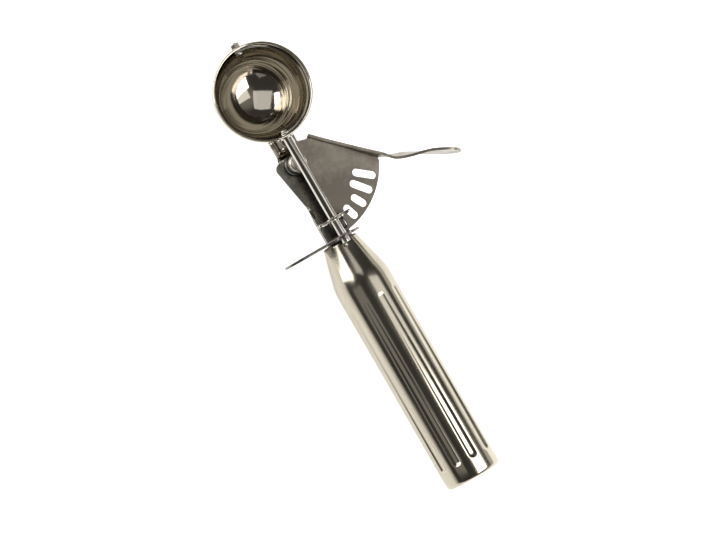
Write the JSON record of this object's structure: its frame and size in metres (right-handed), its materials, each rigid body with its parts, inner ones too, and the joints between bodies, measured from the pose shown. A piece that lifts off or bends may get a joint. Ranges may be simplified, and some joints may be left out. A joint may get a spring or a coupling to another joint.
{
  "type": "lever ice cream scoop",
  "caption": "Hand scoop: a round bowl on a sheet frame with a tube handle, a thumb lever and a geared rod that sweeps a thin blade round the bowl.",
  "frame": {"origin": "centre of the handle's flat end face, on the handle's axis", "axes": "+Y along the handle towards the bowl, +Z the side that the bowl opens to, +X the side of the thumb lever"},
  "size_m": [0.0894, 0.2098, 0.032],
  "materials": {
    "polished_handle": "mirror-polished stainless steel tube",
    "polished_bowl": "mirror-polished stainless steel bowl",
    "polished_rod": "ground and polished stainless steel rod",
    "guard_sheet": "polished stainless steel sheet",
    "frame_sheet": "satin stainless steel sheet",
    "lever_sheet": "tumbled satin stainless steel sheet",
    "blade_strip": "polished stainless steel strip",
    "pinion_steel": "tumbled stainless steel",
    "rivet_steel": "satin stainless steel rivet",
    "plain_steel": "plain stainless steel",
    "spring_wire": "hard-drawn stainless spring wire",
    "bronze_bush": "sintered bronze",
    "dark_plug": "cast aluminium plug"
  },
  "bodies": {
    "scoop_body": {"handle_tube": "polished_handle", "handle_end_cap": "polished_handle", "neck_plug": "dark_plug", "tang_rivet": "plain_steel", "finger_guard": "guard_sheet", "shank_frame": "frame_sheet", "bowl": "polished_bowl", "rod_bush": "bronze_bush", "tip_bush": "bronze_bush", "tip_pin": "plain_steel", "tip_washer": "plain_steel", "tip_nut": "plain_steel", "pivot_rivet": "rivet_steel", "pivot_spacer": "bronze_bush", "pivot_washer": "plain_steel", "return_spring": "spring_wire", "spring_anchor": "plain_steel", "stop_pin": "plain_steel"},
    "lever_body": {"lever": "lever_sheet", "lever_stud": "plain_steel"},
    "rod_body": {"blade_rod": "polished_rod", "sweep_blade": "blade_strip", "star_pinion": "pinion_steel", "pinion_sleeve": "pinion_steel", "rod_end_nut": "pinion_steel"}
  },
  "joints": [
    {"name": "lever_pivot", "type": "hinge", "parent": "scoop_body", "child": "lever_body", "pos_m": [0, 0.1526, 0.0045], "axis": [0, 0, -1], "range_deg": [0, 41], "stiffness_Nm_per_rad": 0.12, "springref_deg": -28.65, "deforming": ["return_spring"]},
    {"name": "blade_turn", "type": "hinge", "parent": "scoop_body", "child": "rod_body", "pos_m": [0, 0.1858, 0.0115], "axis": [0, 1, 0], "range_deg": [0, 164]}
  ],
  "couplings": [
    {"joint": "blade_turn", "follows": "lever_pivot", "ratio": 4}
  ]
}
